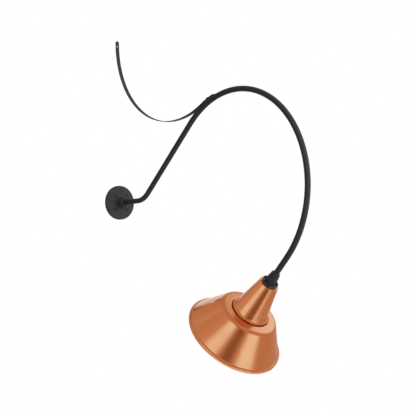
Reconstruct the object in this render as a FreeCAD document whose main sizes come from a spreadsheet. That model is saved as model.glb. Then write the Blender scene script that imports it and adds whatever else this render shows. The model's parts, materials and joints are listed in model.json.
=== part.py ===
import FreeCAD, Part
import math
import os
import Sketcher

# Gooseneck wall sconce. Millimetres, +Z up. The origin is on the wall, at the centre of the wall flange;
# +X points out of the wall, and the arm bends in the plane Y = 0.

Vector = FreeCAD.Vector
Rotation = FreeCAD.Rotation
Placement = FreeCAD.Placement

doc = FreeCAD.newDocument("GooseneckSconce")
sheet = doc.addObject("Spreadsheet::Sheet", "Sizes")
worked = doc.addObject("Spreadsheet::Sheet", "Worked")

# ---------------------------------------------------------------- driving dimensions, as plain numbers
driving = {
    # clearances
    "slide_gap": 0.1, "turn_gap": 0.05, "part_gap": 0.3,
    # arm: bent steel tube, its centre line from the wall outwards
    "tube_radius": 10.0, "tube_wall": 1.5, "tube_start": 6.5, "arm_run": 125.0, "rise_radius": 95.0,
    "rise_angle": 42.5, "rise_length": 355.0, "arch_radius": 347.0, "lamp_tilt": 45.0, "tail_length": 97.0,
    # cast wall flange
    "flange_radius": 67.5, "flange_edge": 11.5, "flange_round": 2.5, "flange_face": 15.0, "cast_wall": 4.5,
    "rim_width": 8.5, "step_width": 8.0, "step_height": 3.5, "boss_wall": 10.9, "boss_end": 43.0,
    "boss_round": 2.0, "step_chamfer": 1.2, "screw_circle": 80.0, "screw_hole_radius": 3.5, "post_radius": 7.5,
    # gasket, locknut and set screw of the flange
    "gasket_circle": 63.0, "gasket_width": 3.4, "gasket_depth": 1.5, "locknut_wall": 4.0,
    "locknut_height": 4.0, "set_screw_radius": 2.5, "set_screw_station": 31.0, "set_screw_inset": 0.8,
    "set_screw_flats": 2.5, "socket_depth": 3.0,
    # wiring inside the flange
    "block_length": 24.0, "block_width": 16.0, "block_height": 6.6, "block_lift": 1.0, "block_drop": 39.0,
    "block_pitch": 7.5, "wire_way_radius": 1.4, "terminal_screw_radius": 1.7, "terminal_screw_inset": 0.4,
    "block_screw_radius": 1.2, "block_pad_inset": 2.0, "earth_screw_radius": 2.0, "earth_head_step": 1.6,
    "earth_head_height": 2.0, "earth_radius": 43.0, "earth_boss_radius": 5.0, "earth_boss_end": 7.0,
    # cable and cores
    "cable_radius": 3.3, "cable_reach": 6.0, "cable_drop": 12.0, "core_radius": 1.0, "core_bend": 3.2,
    "core_entry": 6.0, "core_straight": 2.8,
    # flat-bar stay
    "bar_width": 16.0, "bar_thickness": 2.5, "stay_radius": 354.0, "stay_tab": 12.0, "stay_hole_drop": 22.0,
    "stay_hole_radius": 2.75, "stay_lap": 11.9, "stay_screw_lap": 5.3, "bar_corner_inset": 0.2,
    # button-head screw of the stay and its threaded insert
    "stay_shank_radius": 2.45, "stay_head_radius": 4.75, "stay_head_height": 2.6, "stay_head_edge": 0.7,
    "stay_head_flat": 2.35, "stay_head_round": 4.2, "stay_socket_flats": 3.0, "stay_socket_depth": 1.6,
    "insert_radius": 3.5, "insert_length": 5.4, "insert_inset": 0.05,
    # tapered eight-sided coupling on the arm's end
    "coupling_grip": 27.0, "coupling_length": 45.7, "coupling_wall": 4.5, "coupling_taper": 5.2,
    "collar_wall": 3.1, "collar_height": 2.5, "collar_chamfer": 1.0, "coupling_foot": 4.5,
    "grip_screw_inset": 8.7, "grip_screw_radius": 2.0, "grip_screw_sink": 2.2,
    # turning nipple
    "nipple_radius": 5.0, "nipple_bore": 3.75, "nipple_head_step": 2.6, "nipple_head": 2.5,
    "nipple_play": 0.9, "nipple_reach": 16.0,
    # black seal cup between coupling and neck
    "cup_radius": 29.0, "cup_lip": 3.0, "cup_height": 9.0, "cup_floor": 2.0, "cup_round": 1.5,
    # copper neck, spun from sheet
    "sheet_wall": 1.2, "neck_top_radius": 34.3, "neck_round": 3.5, "neck_length": 128.0,
    "flare_width": 7.3, "flare_round": 12.0, "lip_radius": 67.5, "lip_drop": 3.2, "lip_roll": 1.15,
    "seat_width": 17.5,
    # washer and nut that clamp the neck on the nipple
    "washer_radius": 14.0, "washer_height": 1.6, "nut_flats": 17.0, "nut_height": 5.0,
    # spacer and screws between neck and shade
    "spacer_height": 5.0, "spacer_width": 9.0, "clamp_inset": 7.0, "clamp_screw_radius": 2.0,
    "clamp_head_radius": 4.0, "clamp_head_height": 2.4, "clamp_head_round": 1.6, "clamp_nut_flats": 7.0,
    "clamp_nut_height": 3.2, "clamp_tip": 1.0,
    # copper shade, spun from sheet
    "groove_width": 1.5, "groove_wall_width": 6.5, "groove_round": 2.0, "crown_round": 3.0,
    "crown_rise": 3.0, "crown_drop": 5.1, "shoulder_radius": 102.4, "shoulder_round": 20.0,
    "skirt_height": 103.4, "skirt_radius": 168.0, "bead_out": 7.5, "bead_drop": 3.5, "bead_height": 14.0,
    "bead_turn": 8.5, "bead_entry_round": 1.5, "bead_upper_round": 4.0, "bead_lower_round": 4.5,
    # vent slots in the shade
    "slot_width": 5.0, "slot_drop": 5.4, "slot_length": 41.0, "slot_angle": 44.0,
    # lampholder
    "holder_drop": 9.0, "holder_side": 3.2, "holder_wall": 2.2, "holder_cap_height": 22.0,
    "holder_neck": 4.0, "holder_dome": 8.0, "holder_length": 43.0, "holder_bead": 1.2,
    "insert_sink": 2.0, "insert_height": 12.0, "insert_step": 2.9, "insert_way": 9.5,
    "insert_screw_radius": 1.6, "insert_screw_sink": 2.0, "shell_radius": 14.3, "shell_wall": 0.5,
    "shell_length": 29.0, "shell_seat": 2.8, "shell_play": 0.8, "contact_length": 14.0,
    "contact_width": 5.0, "contact_thickness": 0.5, "contact_foot": 2.0,
    # bulb
    "tip_height": 2.2, "tip_radius": 3.0, "tip_edge": 1.5, "tip_bevel": 0.7, "insulator_height": 2.8,
    "insulator_inset": 6.6, "bulb_play": 0.5, "bulb_cap_wall": 0.4, "bulb_cap_length": 24.5,
    "bulb_cap_cone": 4.0, "bulb_cap_turn": 2.0, "bulb_cap_lip": 1.5, "bulb_radius": 30.0,
    "bulb_neck_step": 0.7, "bulb_waist_step": 2.6, "bulb_rise": 50.5, "glass_wall": 1.0, "bulb_throat": 16.0,
    "bulb_flank_radius": 44.0, "collar_depth": 4.0, "stem_length": 34.0, "stem_seat": 3.5,
    "stem_radius": 3.0, "stem_flare": 9.0, "stem_taper": 16.0, "filament_radius": 0.35,
    "filament_lift": 26.0, "filament_spread": 11.0, "filament_crown": 5.0, "filament_side": 20.0,
    "filament_rise": 29.0, "filament_bend": 1.6,
}


def cell_name(row):
    return "A%d" % row


for row, (name, number) in enumerate(driving.items(), start=1):
    sheet.set(cell_name(row), str(number))
    sheet.setAlias(cell_name(row), name)
doc.recompute()


class Size:
    """A number together with the expression that gives it from the sheet."""

    kept = 0

    def __init__(self, value, text):
        self.value = float(value)
        self.text = text

    def __add__(self, other):
        other = size_of(other)
        return Size(self.value + other.value, "(%s + %s)" % (self.text, other.text))

    def __sub__(self, other):
        other = size_of(other)
        return Size(self.value - other.value, "(%s - %s)" % (self.text, other.text))

    def __mul__(self, other):
        other = size_of(other)
        return Size(self.value * other.value, "(%s * %s)" % (self.text, other.text))

    def __truediv__(self, other):
        other = size_of(other)
        return Size(self.value / other.value, "(%s / %s)" % (self.text, other.text))

    def __radd__(self, other):
        return size_of(other) + self

    def __rsub__(self, other):
        return size_of(other) - self

    def __rmul__(self, other):
        return size_of(other) * self

    def __neg__(self):
        return size_of(0) - self

    def keep(self):
        """Store the expression in a cell of the second sheet, so that the ones built on it stay short."""
        Size.kept += 1
        name = "worked_%d" % Size.kept
        worked.set(cell_name(Size.kept), "=" + self.text)
        worked.setAlias(cell_name(Size.kept), name)
        return Size(self.value, "Worked." + name)


def size_of(value):
    return value if isinstance(value, Size) else Size(value, "(%.6f)" % value)


def sine(angle):
    return Size(math.sin(math.radians(angle.value)), "sin(%s)" % angle.text)


def cosine(angle):
    return Size(math.cos(math.radians(angle.value)), "cos(%s)" % angle.text)


def arc_cosine(number):
    return Size(math.degrees(math.acos(number.value)), "(acos(%s) / 1deg)" % number.text)


def root(number):
    return Size(math.sqrt(number.value), "sqrt(%s)" % number.text)


def get(name):
    return Size(driving[name], "Sizes." + name)


def bind(target, prop, size):
    target.setExpression(prop, size_of(size).text)


# ---------------------------------------------------------------- sketches and features
def origin_item(body, role):
    return [item for item in body.Origin.OriginFeatures if item.Role == role][0]


def new_body(label):
    body = doc.addObject("PartDesign::Body", label)
    body.Label = label
    return body


def new_sketch(body, role, offset=None):
    """A sketch on one of the body's own origin planes, or lifted off it along its normal."""
    sketch = body.newObject("Sketcher::SketchObject", body.Label + "_sketch")
    sketch.AttachmentSupport = (origin_item(body, role), [""])
    sketch.MapMode = "FlatFace"
    if offset is not None:
        sketch.AttachmentOffset = Placement(Vector(0, 0, offset.value), Rotation())
        bind(sketch, "AttachmentOffset.Base.z", offset)
    return sketch


def pin(sketch, kind, size, *where):
    """Add a constraint that holds one size, bound to its expression."""
    size = size_of(size)
    index = sketch.addConstraint(Sketcher.Constraint(kind, *where, size.value))
    bind(sketch, "Constraints[%d]" % index, size)


def pin_point(sketch, edge, end, point):
    pin(sketch, "DistanceX", point[0], -1, 1, edge, end)
    pin(sketch, "DistanceY", point[1], -1, 1, edge, end)


def pin_arc(sketch, edge, start, end, radius):
    """With its ends pinned, an arc needs its radius, or for a half circle its centre off the chord's line."""
    chord = flat(end) - flat(start)
    if chord.Length / 2 < radius.value - 1e-6:
        pin(sketch, "Radius", radius, edge)
    elif abs(chord.y) > abs(chord.x):
        pin(sketch, "DistanceX", (size_of(start[0]) + end[0]) / 2, -1, 1, edge, 3)
    else:
        pin(sketch, "DistanceY", (size_of(start[1]) + end[1]) / 2, -1, 1, edge, 3)


def flat(point):
    return Vector(size_of(point[0]).value, size_of(point[1]).value, 0)


def arc_edge(start, end, radius, centre_left):
    """The short arc between two points, its centre on the stated side of the way from one to the other."""
    chord = end - start
    side = Vector(-chord.y, chord.x, 0).normalize() * (1 if centre_left else -1)
    reach = max(radius ** 2 - (chord.Length / 2) ** 2, 0.0) ** 0.5
    centre = (start + end) * 0.5 + side * reach
    first, last = (start, end) if centre_left else (end, start)
    angles = [math.atan2(point.y - centre.y, point.x - centre.x) for point in (first, last)]
    return Part.ArcOfCircle(Part.Circle(centre, Vector(0, 0, 1), radius), angles[0], angles[1])


def outline(sketch, points, arcs=None, closed=True):
    """Lines from point to point; arcs maps an edge's number to (radius, centre on the left of the way)."""
    arcs = arcs or {}
    base = sketch.GeometryCount
    count = len(points) if closed else len(points) - 1
    ends = []
    for n in range(count):
        start, end = flat(points[n]), flat(points[(n + 1) % len(points)])
        if n in arcs:
            radius, centre_left = arcs[n]
            sketch.addGeometry(arc_edge(start, end, size_of(radius).value, centre_left))
            ends.append((1, 2) if centre_left else (2, 1))
        else:
            sketch.addGeometry(Part.LineSegment(start, end))
            ends.append((1, 2))
    for n in range(count):
        after = (n + 1) % count
        if closed or after:
            joint = Sketcher.Constraint("Coincident", base + n, ends[n][1], base + after, ends[after][0])
            sketch.addConstraint(joint)
        pin_point(sketch, base + n, ends[n][0], points[n])
        if n in arcs:
            pin_arc(sketch, base + n, points[n], points[(n + 1) % len(points)], size_of(arcs[n][0]))
    if not closed:
        pin_point(sketch, base + count - 1, ends[-1][1], points[-1])


def circle(sketch, centre, radius):
    edge = sketch.addGeometry(Part.Circle(flat(centre), Vector(0, 0, 1), size_of(radius).value))
    pin_point(sketch, edge, 3, centre)
    pin(sketch, "Radius", radius, edge)


def rectangle(left, low, right, high):
    return [(left, low), (right, low), (right, high), (left, high)]


def polygon(flats, sides, turn=0.0):
    """Corners of a regular polygon about the sketch's origin, from its size across flats."""
    corner = flats / 2 / math.cos(math.pi / sides)
    angles = [math.radians(turn + 360.0 * n / sides) for n in range(sides)]
    return [(corner * math.cos(angle), corner * math.sin(angle)) for angle in angles]


def feature(body, kind, sketch, **settings):
    item = body.newObject("PartDesign::" + kind, body.Label + "_" + kind.lower())
    item.Profile = sketch
    for name, value in settings.items():
        if isinstance(value, Size):
            bind(item, name, value)
        else:
            setattr(item, name, value)
    sketch.Visibility = False
    return item


def revolve(body, points, arcs=None, kind="Revolution"):
    """Turn a profile of (radius, station) points about the body's Z axis, to add or with Groove to cut."""
    sketch = new_sketch(body, "XZ_Plane")
    outline(sketch, points, arcs)
    return feature(body, kind, sketch, ReferenceAxis=(sketch, ["V_Axis"]), Angle=360.0)


def pad_circle(body, radius, low, high, bore=None):
    sketch = new_sketch(body, "XY_Plane", size_of(low))
    circle(sketch, (0, 0), radius)
    if bore is not None:
        circle(sketch, (0, 0), bore)
    return feature(body, "Pad", sketch, Length=size_of(high) - low)


def pad_polygon(body, corners, low, high, bore=None):
    sketch = new_sketch(body, "XY_Plane", size_of(low))
    outline(sketch, corners)
    if bore is not None:
        circle(sketch, (0, 0), bore)
    return feature(body, "Pad", sketch, Length=size_of(high) - low)


def drill_up(body, centres, radius, low, high):
    """Round holes along +Z between two stations."""
    sketch = new_sketch(body, "XY_Plane", size_of(low))
    for centre in centres:
        circle(sketch, centre, radius)
    return feature(body, "Pocket", sketch, Type="Length", Length=size_of(high) - low, Reversed=True)


def repeat(body, item, count, angle=360.0):
    """The same feature again round the body's Z axis."""
    pattern = body.newObject("PartDesign::PolarPattern", body.Label + "_pattern")
    pattern.Originals = [item]
    pattern.Axis = (origin_item(body, "Z_Axis"), [""])
    pattern.Angle = angle
    pattern.Occurrences = count
    body.Tip = pattern
    return pattern


nodes = []


def finish(item, place=None):
    if place:
        place(item)
    nodes.append(item)
    return item


def group(label, items, place=None):
    """Identical small pieces as one node of separate solids."""
    item = doc.addObject("Part::Compound", label)
    item.Label = label
    item.Links = items
    return finish(item, place)


def round_pieces(label, radius, places, low, high, place):
    """Short round pieces along local Z, as one node."""
    pieces = []
    for across, along in places:
        piece = doc.addObject("Part::Cylinder", label + "_piece")
        bind(piece, "Radius", radius)
        bind(piece, "Height", high - low)
        bind(piece, "Placement.Base.x", across)
        bind(piece, "Placement.Base.y", along)
        bind(piece, "Placement.Base.z", low)
        pieces.append(piece)
    return group(label, pieces, place)


def bent_wire(points, radius, bend):
    """A round wire along straight runs joined by tangent arcs."""
    edges, last = [], points[0]
    for n in range(1, len(points) - 1):
        before = (points[n] - points[n - 1]).normalize()
        after = (points[n + 1] - points[n]).normalize()
        half = before.getAngle(after) / 2
        start, end = points[n] - before * bend * math.tan(half), points[n] + after * bend * math.tan(half)
        middle = points[n] + (after - before).normalize() * bend * (1 / math.cos(half) - 1)
        edges.append(Part.LineSegment(last, start).toShape())
        edges.append(Part.Arc(start, middle, end).toShape())
        last = end
    edges.append(Part.LineSegment(last, points[-1]).toShape())
    section = Part.Wire([Part.Circle(points[0], (points[1] - points[0]).normalize(), radius).toShape()])
    return Part.Wire(edges).makePipeShell([section], True, False, 1)


def shape_node(label, shape, place=None):
    item = doc.addObject("Part::Feature", label)
    item.Label = label
    item.Shape = shape
    return finish(item, place)


def sheet_strip(corners, rounds, wall):
    """Profile of a bent sheet, as outline points and arcs. corners are the sharp corners of one face in order,
    and the wall lies on the left of the way along them; rounds maps a corner's number to that face's bend
    radius."""
    count = len(corners)
    ways = []
    for n in range(count - 1):
        dx, dy = size_of(corners[n + 1][0]) - corners[n][0], size_of(corners[n + 1][1]) - corners[n][1]
        length = root(dx * dx + dy * dy).keep()
        ways.append(((dx / length).keep(), (dy / length).keep()))
    near, far, bends = [], [], {}
    for n in range(count):
        before, after = ways[max(n - 1, 0)], ways[min(n, count - 2)]
        dot = (before[0] * after[0] + before[1] * after[1]).keep()
        cross = (before[0] * after[1] - before[1] * after[0]).keep()
        shift = (wall / (1 + dot)).keep()
        corner = corners[n]
        across = (
            (corner[0] - shift * (before[1] + after[1])).keep(),
            (corner[1] + shift * (before[0] + after[0])).keep(),
        )
        if n not in rounds:
            near.append(corner)
            far.append(across)
            continue
        left = cross.value > 0
        radius = size_of(rounds[n])
        other = radius - wall if left else radius + wall
        half = ((cross if left else -cross) / (1 + dot)).keep()
        for side, point, bend in ((near, corner, radius), (far, across, other)):
            reach = (bend * half).keep()
            side.append((point[0] - reach * before[0], point[1] - reach * before[1]))
            side.append((point[0] + reach * after[0], point[1] + reach * after[1]))
        bends[len(near) - 2] = (radius, other, left)
    arcs = {}
    for n, (radius, other, left) in bends.items():
        arcs[n] = (radius, left)
        arcs[2 * len(near) - 2 - n] = (other, not left)
    return near + far[::-1], arcs


# ---------------------------------------------------------------- frames and stations
slide_gap, turn_gap, part_gap = get("slide_gap"), get("turn_gap"), get("part_gap")
tube_radius = get("tube_radius")
tube_seat = tube_radius + slide_gap
run, rise_radius, rise_angle = get("arm_run"), get("rise_radius"), get("rise_angle")
arch_radius, tilt, tail = get("arch_radius"), get("lamp_tilt"), get("tail_length")

# the arm's centre line in the plane Y = 0, as (x, z)
rise_start = ((run + rise_radius * sine(rise_angle)).keep(), (rise_radius * (1 - cosine(rise_angle))).keep())
arch_start = (
    (rise_start[0] + get("rise_length") * cosine(rise_angle)).keep(),
    (rise_start[1] + get("rise_length") * sine(rise_angle)).keep(),
)
arch_centre = (
    (arch_start[0] + arch_radius * sine(rise_angle)).keep(),
    (arch_start[1] - arch_radius * cosine(rise_angle)).keep(),
)
arch_end = (
    (arch_centre[0] + arch_radius * sine(tilt)).keep(),
    (arch_centre[1] - arch_radius * cosine(tilt)).keep(),
)
arm_bends = {1: (rise_radius, True), 3: (arch_radius, False)}


def arm_path(start, end_station):
    """The arm's line from a distance off the wall to a station past the arch's end."""
    end = (arch_end[0] - end_station * cosine(tilt), arch_end[1] - end_station * sine(tilt))
    return [(start, size_of(0)), (run, size_of(0)), rise_start, arch_start, arch_end, end]


# stations along the lamp's axis, counted from the arch's end towards the shade's mouth
coupling_top = tail - get("coupling_grip")
coupling_base = coupling_top + get("coupling_length")
nipple_seat = tail + get("nipple_play") + get("nipple_head")
neck_top = coupling_base + part_gap + get("cup_floor")
neck_foot = neck_top + get("neck_length")
neck_under = neck_foot + get("lip_drop") + 2 * get("lip_roll")
shade_top = (neck_under + get("spacer_height")).keep()
shoulder = shade_top - get("crown_rise") + get("crown_drop")
skirt_end = shoulder + get("skirt_height")
holder_top = neck_top + get("holder_drop")
holder_seam = holder_top + get("holder_cap_height")
insert_top = holder_seam - get("insert_sink")
insert_end = insert_top + get("insert_height")
shell_end = insert_end + get("shell_length")
bulb_tip = insert_end + get("tip_height")
bulb_cap_top = bulb_tip + get("insulator_height")
bulb_cap_end = bulb_cap_top + get("bulb_cap_length")


def on_wall(item):
    """Local Z points out of the wall, local X points down."""
    item.Placement = Placement(Vector(0, 0, 0), Rotation(Vector(0, 1, 0), 90))


def on_lamp(item):
    """Local Z runs along the lamp's axis from the arch's end; local X is the shade's upper side."""
    turn = 270.0 - driving["lamp_tilt"]
    item.Placement = Placement(Vector(arch_end[0].value, 0, arch_end[1].value), Rotation(Vector(0, 1, 0), turn))
    bind(item, "Placement.Base.x", arch_end[0])
    bind(item, "Placement.Base.z", arch_end[1])
    bind(item, "Placement.Rotation.Angle", 270 - tilt)


# ---------------------------------------------------------------- wall flange and its fittings
boss_radius = tube_seat + get("boss_wall")
cavity_floor = get("flange_face") - get("cast_wall")
block_top = get("block_lift") + get("block_height")
block_places = [(get("block_drop"), get("block_pitch") / 2 * side) for side in (-1, 1)]
earth_place = (-get("earth_radius"), size_of(0))


def make_wall_flange():
    """Dished casting: rim with a gasket groove, four screw posts, stepped hub, earth boss and block pad."""
    body = new_body("wall_flange")
    outer, edge, corner = get("flange_radius"), get("flange_edge"), get("flange_round")
    face, boss_end, bend = get("flange_face"), get("boss_end"), get("boss_round")
    rim = outer - get("rim_width")
    step, step_top, chamfer = boss_radius + get("step_width"), face + get("step_height"), get("step_chamfer")
    groove_in = get("gasket_circle") - get("gasket_width") / 2 - slide_gap
    groove_out = get("gasket_circle") + get("gasket_width") / 2 + slide_gap
    groove_end = get("gasket_depth") + slide_gap
    cavity_round = edge - get("cast_wall")
    points = [
        (tube_seat, cavity_floor), (step, cavity_floor), (rim - corner, cavity_round),
        (rim, cavity_round - corner), (rim, 0), (groove_in, 0), (groove_in, groove_end),
        (groove_out, groove_end), (groove_out, 0), (outer, 0), (outer, edge - corner), (outer - corner, edge),
        (step, face), (step, step_top - chamfer), (step - chamfer, step_top), (boss_radius + bend, step_top),
        (boss_radius, step_top + bend), (boss_radius, boss_end - bend), (boss_radius - bend, boss_end),
        (tube_seat, boss_end),
    ]
    revolve(body, points, {10: (corner, True), 15: (bend, False), 17: (bend, True)})
    across = get("screw_circle") / 2 * math.cos(math.pi / 4)
    sketch = new_sketch(body, "XY_Plane")
    circle(sketch, (across, across), get("post_radius"))
    repeat(body, feature(body, "Pad", sketch, Length=cavity_floor), 4)
    inside_wall = face - get("cast_wall") / 2
    sketch = new_sketch(body, "XY_Plane", get("earth_boss_end"))
    circle(sketch, earth_place, get("earth_boss_radius"))
    feature(body, "Pad", sketch, Length=inside_wall - get("earth_boss_end"))
    half_length, half_width = get("block_length") / 2, get("block_width") / 2 - get("block_pad_inset")
    drop = get("block_drop")
    sketch = new_sketch(body, "XY_Plane", block_top)
    outline(sketch, rectangle(drop - half_width, -half_length, drop + half_width, half_length))
    feature(body, "Pad", sketch, Length=inside_wall - block_top)
    repeat(body, drill_up(body, [(across, across)], get("screw_hole_radius"), 0, face), 4)
    drill_up(body, [earth_place], get("earth_screw_radius") + turn_gap, 0, cavity_floor)
    drill_up(body, block_places, get("block_screw_radius") + turn_gap, 0, cavity_floor)
    sketch = new_sketch(body, "YZ_Plane")
    circle(sketch, (0, get("set_screw_station")), get("set_screw_radius") + turn_gap)
    feature(body, "Pocket", sketch, Type="Length", Length=boss_radius + bend, Reversed=True)
    return finish(body, on_wall)


def make_wall_gasket():
    body = new_body("wall_gasket")
    half = get("gasket_width") / 2
    pad_circle(body, get("gasket_circle") + half, 0, get("gasket_depth"), get("gasket_circle") - half)
    return finish(body, on_wall)


def make_arm_tube():
    body = new_body("arm_tube")
    for kind, radius in (("AdditivePipe", tube_radius), ("SubtractivePipe", tube_radius - get("tube_wall"))):
        path = new_sketch(body, "XZ_Plane")
        outline(path, arm_path(get("tube_start"), tail), arm_bends, closed=False)
        section = new_sketch(body, "YZ_Plane", get("tube_start"))
        circle(section, (0, 0), radius)
        feature(body, kind, section).Spine = path
        path.Visibility = False
    drill_for_stay(body, get("insert_radius"), seat_radius - tube_radius)
    return finish(body)


def make_arm_locknut():
    body = new_body("arm_locknut")
    low = cavity_floor - get("locknut_height")
    pad_polygon(body, polygon(2 * (tube_radius + get("locknut_wall")), 6, 30), low, cavity_floor, tube_radius)
    return finish(body, on_wall)


def make_hub_set_screw():
    """Headless screw from under the hub against the tube, with a hexagon socket."""
    body = new_body("hub_set_screw")
    end = boss_radius - get("set_screw_inset")
    pad_circle(body, get("set_screw_radius"), tube_radius, end)
    sketch = new_sketch(body, "XY_Plane", end)
    outline(sketch, polygon(get("set_screw_flats"), 6))
    feature(body, "Pocket", sketch, Type="Length", Length=get("socket_depth"))
    body.Placement = Placement(Vector(driving["set_screw_station"], 0, 0), Rotation(Vector(0, 1, 0), 180))
    bind(body, "Placement.Base.x", get("set_screw_station"))
    return finish(body)


def make_terminal_block():
    """Three-way block in the flange's cavity, under the arm; its wire ways run up and down."""
    body = new_body("terminal_block")
    lift, drop, pitch = get("block_lift"), get("block_drop"), get("block_pitch")
    half_length, half_width = get("block_length") / 2, get("block_width") / 2
    middle = lift + get("block_height") / 2
    corners = rectangle(drop - half_width, -half_length, drop + half_width, half_length)
    pad_polygon(body, corners, lift, block_top)
    sketch = new_sketch(body, "YZ_Plane", drop - half_width - 1)
    for way in (-1, 0, 1):
        circle(sketch, (pitch * way, middle), get("wire_way_radius"))
    feature(body, "Pocket", sketch, Type="Length", Length=get("block_width") + 2, Reversed=True)
    over_screws = [(drop, pitch * way) for way in (-1, 0, 1)]
    drill_up(body, over_screws, get("terminal_screw_radius") + slide_gap, lift, middle)
    drill_up(body, block_places, get("block_screw_radius") + turn_gap, lift, block_top)
    return finish(body, on_wall)


def make_terminal_screws():
    lift, pitch = get("block_lift"), get("block_pitch")
    places = [(get("block_drop"), pitch * way) for way in (-1, 0, 1)]
    high = lift + get("block_height") / 2 - get("core_radius")
    low = lift + get("terminal_screw_inset")
    return round_pieces("terminal_screws", get("terminal_screw_radius"), places, low, high, on_wall)


def make_block_screws():
    """Two small screws that hold the block to the flange, between its wire ways."""
    high = cavity_floor - get("terminal_screw_inset")
    radius = get("block_screw_radius")
    return round_pieces("block_screws", radius, block_places, get("block_lift"), high, on_wall)


def make_earth_screw():
    body = new_body("earth_screw")
    seat, radius = get("earth_boss_end"), get("earth_screw_radius")
    head, end = radius + get("earth_head_step"), cavity_floor - get("terminal_screw_inset")
    low = seat - get("earth_head_height")
    revolve(body, [(0, low), (head, low), (head, seat), (radius, seat), (radius, end), (0, end)])
    body.Placement = Placement(Vector(0, 0, driving["earth_radius"]), Rotation(Vector(0, 1, 0), 90))
    bind(body, "Placement.Base.z", get("earth_radius"))
    return finish(body)


# ---------------------------------------------------------------- stay
# its big bend is tangent to the wall and to the top of the arm's arch, then it lies on the arch
bar, stay_radius = get("bar_thickness"), get("stay_radius")
seat_radius = (arch_radius + tube_radius).keep()
stay_x = (bar / 2 + stay_radius).keep()
centre_gap = (stay_radius + seat_radius + bar / 2).keep()
centre_across = (arch_centre[0] - stay_x).keep()
stay_z = (arch_centre[1] + root(centre_gap * centre_gap - centre_across * centre_across)).keep()
stay_top = stay_z + get("stay_tab")
touch_angle = (180 - arc_cosine(centre_across / centre_gap)).keep()
screw_angle = (touch_angle - get("stay_screw_lap")).keep()


def make_stay_strap():
    body = new_body("stay_strap")
    last_angle = (touch_angle - get("stay_lap")).keep()
    near, far = stay_radius - bar / 2, stay_radius + bar / 2

    def from_stay(radius):
        return (stay_x - radius * cosine(touch_angle), stay_z - radius * sine(touch_angle))

    def from_arch(radius):
        return (arch_centre[0] + radius * cosine(last_angle), arch_centre[1] + radius * sine(last_angle))

    points = [
        (bar, stay_top), (size_of(0), stay_top), (size_of(0), stay_z), from_stay(far),
        from_arch(seat_radius), from_arch(seat_radius + bar), from_stay(near), (bar, stay_z),
    ]
    arcs = {2: (far, True), 3: (seat_radius, False), 5: (seat_radius + bar, True), 6: (near, False)}
    sketch = new_sketch(body, "XZ_Plane")
    outline(sketch, points, arcs)
    strip = feature(body, "Pad", sketch, Length=get("bar_width"), Midplane=True)
    doc.recompute()
    rounded = body.newObject("PartDesign::Fillet", "stay_strap_fillet")
    rounded.Base = (strip, end_corners(strip.Shape))
    bind(rounded, "Radius", get("bar_width") / 2 - get("bar_corner_inset"))
    sketch = new_sketch(body, "YZ_Plane")
    circle(sketch, (0, stay_top - get("stay_hole_drop")), get("stay_hole_radius"))
    feature(body, "Pocket", sketch, Type="Length", Length=4 * bar, Midplane=True)
    drill_for_stay(body, get("stay_shank_radius") + slide_gap, seat_radius - bar)
    return finish(body)


def end_corners(shape):
    """The bar's short edges through its thickness, at its two ends."""
    names = []
    for n, edge in enumerate(shape.Edges, start=1):
        box = edge.BoundBox
        if edge.Length < driving["bar_thickness"] * 1.01 and box.YMax - box.YMin < 0.01:
            names.append("Edge%d" % n)
    return names


def at_stay_screw(item):
    """Local Z points away from the arch's centre, where the item's origin lies, through the screw."""
    turned = Rotation(Vector(0, 1, 0), 90.0 - screw_angle.value)
    item.Placement = Placement(Vector(arch_centre[0].value, 0, arch_centre[1].value), turned)
    bind(item, "Placement.Base.x", arch_centre[0])
    bind(item, "Placement.Base.z", arch_centre[1])
    bind(item, "Placement.Rotation.Angle", 90 - screw_angle)


def drill_for_stay(body, radius, depth):
    """A round hole along the stay screw's axis, from above the bar in to a distance from the arch's centre."""
    above = seat_radius + 2 * bar
    x, z = arch_centre[0] + above * cosine(screw_angle), arch_centre[1] + above * sine(screw_angle)
    sketch = new_sketch(body, "XY_Plane")
    turned = Rotation(Vector(0, -1, 0), screw_angle.value - 90)
    sketch.AttachmentOffset = Placement(Vector(x.value, 0, z.value), turned)
    bind(sketch, "AttachmentOffset.Base.x", x)
    bind(sketch, "AttachmentOffset.Base.z", z)
    bind(sketch, "AttachmentOffset.Rotation.Angle", screw_angle - 90)
    circle(sketch, (0, 0), radius)
    return feature(body, "Pocket", sketch, Type="Length", Length=above - depth)


def make_stay_screw():
    """Button-head screw with a hexagon socket."""
    body = new_body("stay_screw")
    seat = seat_radius + bar
    shank, head, edge = get("stay_shank_radius"), get("stay_head_radius"), seat + get("stay_head_edge")
    low, top = seat_radius - get("insert_length") + slide_gap, seat + get("stay_head_height")
    flat_top = get("stay_head_flat")
    points = [(0, low), (shank, low), (shank, seat), (head, seat), (head, edge), (flat_top, top), (0, top)]
    revolve(body, points, {4: (get("stay_head_round"), True)})
    sketch = new_sketch(body, "XY_Plane", top)
    outline(sketch, polygon(get("stay_socket_flats"), 6))
    feature(body, "Pocket", sketch, Type="Length", Length=get("stay_socket_depth"))
    return finish(body, at_stay_screw)


def make_stay_insert():
    """Threaded sleeve pressed into the tube's wall."""
    body = new_body("stay_insert")
    low, high = seat_radius - get("insert_length"), seat_radius - get("insert_inset")
    pad_circle(body, get("insert_radius") - turn_gap, low, high, get("stay_shank_radius"))
    return finish(body, at_stay_screw)


# ---------------------------------------------------------------- coupling, nipple and seal cup
coupling_top_flats = 2 * (tube_seat + get("coupling_wall"))
coupling_base_flats = coupling_top_flats + 2 * get("coupling_taper")


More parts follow.
